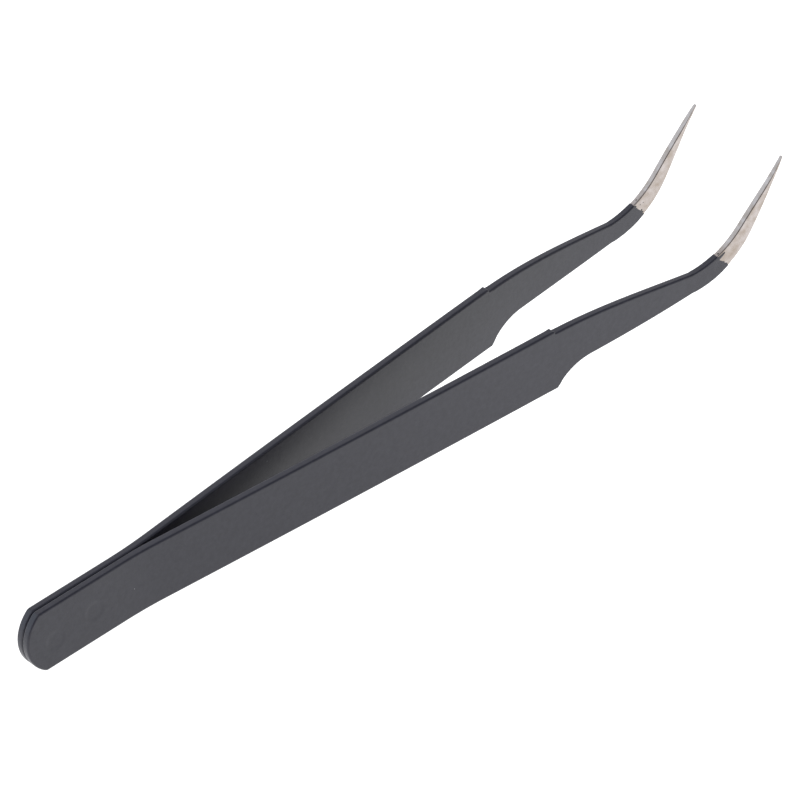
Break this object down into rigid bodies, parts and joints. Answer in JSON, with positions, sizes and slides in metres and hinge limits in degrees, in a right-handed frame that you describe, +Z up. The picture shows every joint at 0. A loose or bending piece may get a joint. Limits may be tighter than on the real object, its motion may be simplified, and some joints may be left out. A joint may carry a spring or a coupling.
{
  "type": "curved fine-point tweezers",
  "caption": "Curved fine-point tweezers: long flat spring arms joined at the heel, black coated, with bare steel points bent up about forty-five degrees.",
  "frame": {"origin": "on the surface that the tweezers stand on, below the middle of their bounding box", "axes": "+X from the heel to the points, +Y from the right arm to the left arm, +Z up from the lower edges; the points turn up towards +Z"},
  "size_m": [0.12, 0.0172, 0.0155],
  "materials": {
    "steel": "fine ground stainless steel",
    "weld": "fused spot-weld metal, hidden",
    "coat": "black baked epoxy coat, satin"
  },
  "bodies": {
    "heel": {"right_heel": "steel", "left_heel": "steel", "weld_nuggets": "weld", "heel_coat": "coat"},
    "right_arm_body": {"right_arm": "steel", "right_arm_coat": "coat"},
    "left_arm_body": {"left_arm": "steel", "left_arm_coat": "coat"}
  },
  "joints": [
    {"name": "right_arm_flex", "type": "hinge", "parent": "heel", "child": "right_arm_body", "pos_m": [-0.02893, -0.0012, 0.00447], "axis": [0, 0, 1], "range_deg": [0, 5.05], "stiffness_Nm_per_rad": 4.4},
    {"name": "left_arm_flex", "type": "hinge", "parent": "heel", "child": "left_arm_body", "pos_m": [-0.02893, 0.0012, 0.00447], "axis": [0, 0, -1], "range_deg": [0, 5.05], "stiffness_Nm_per_rad": 4.4}
  ]
}
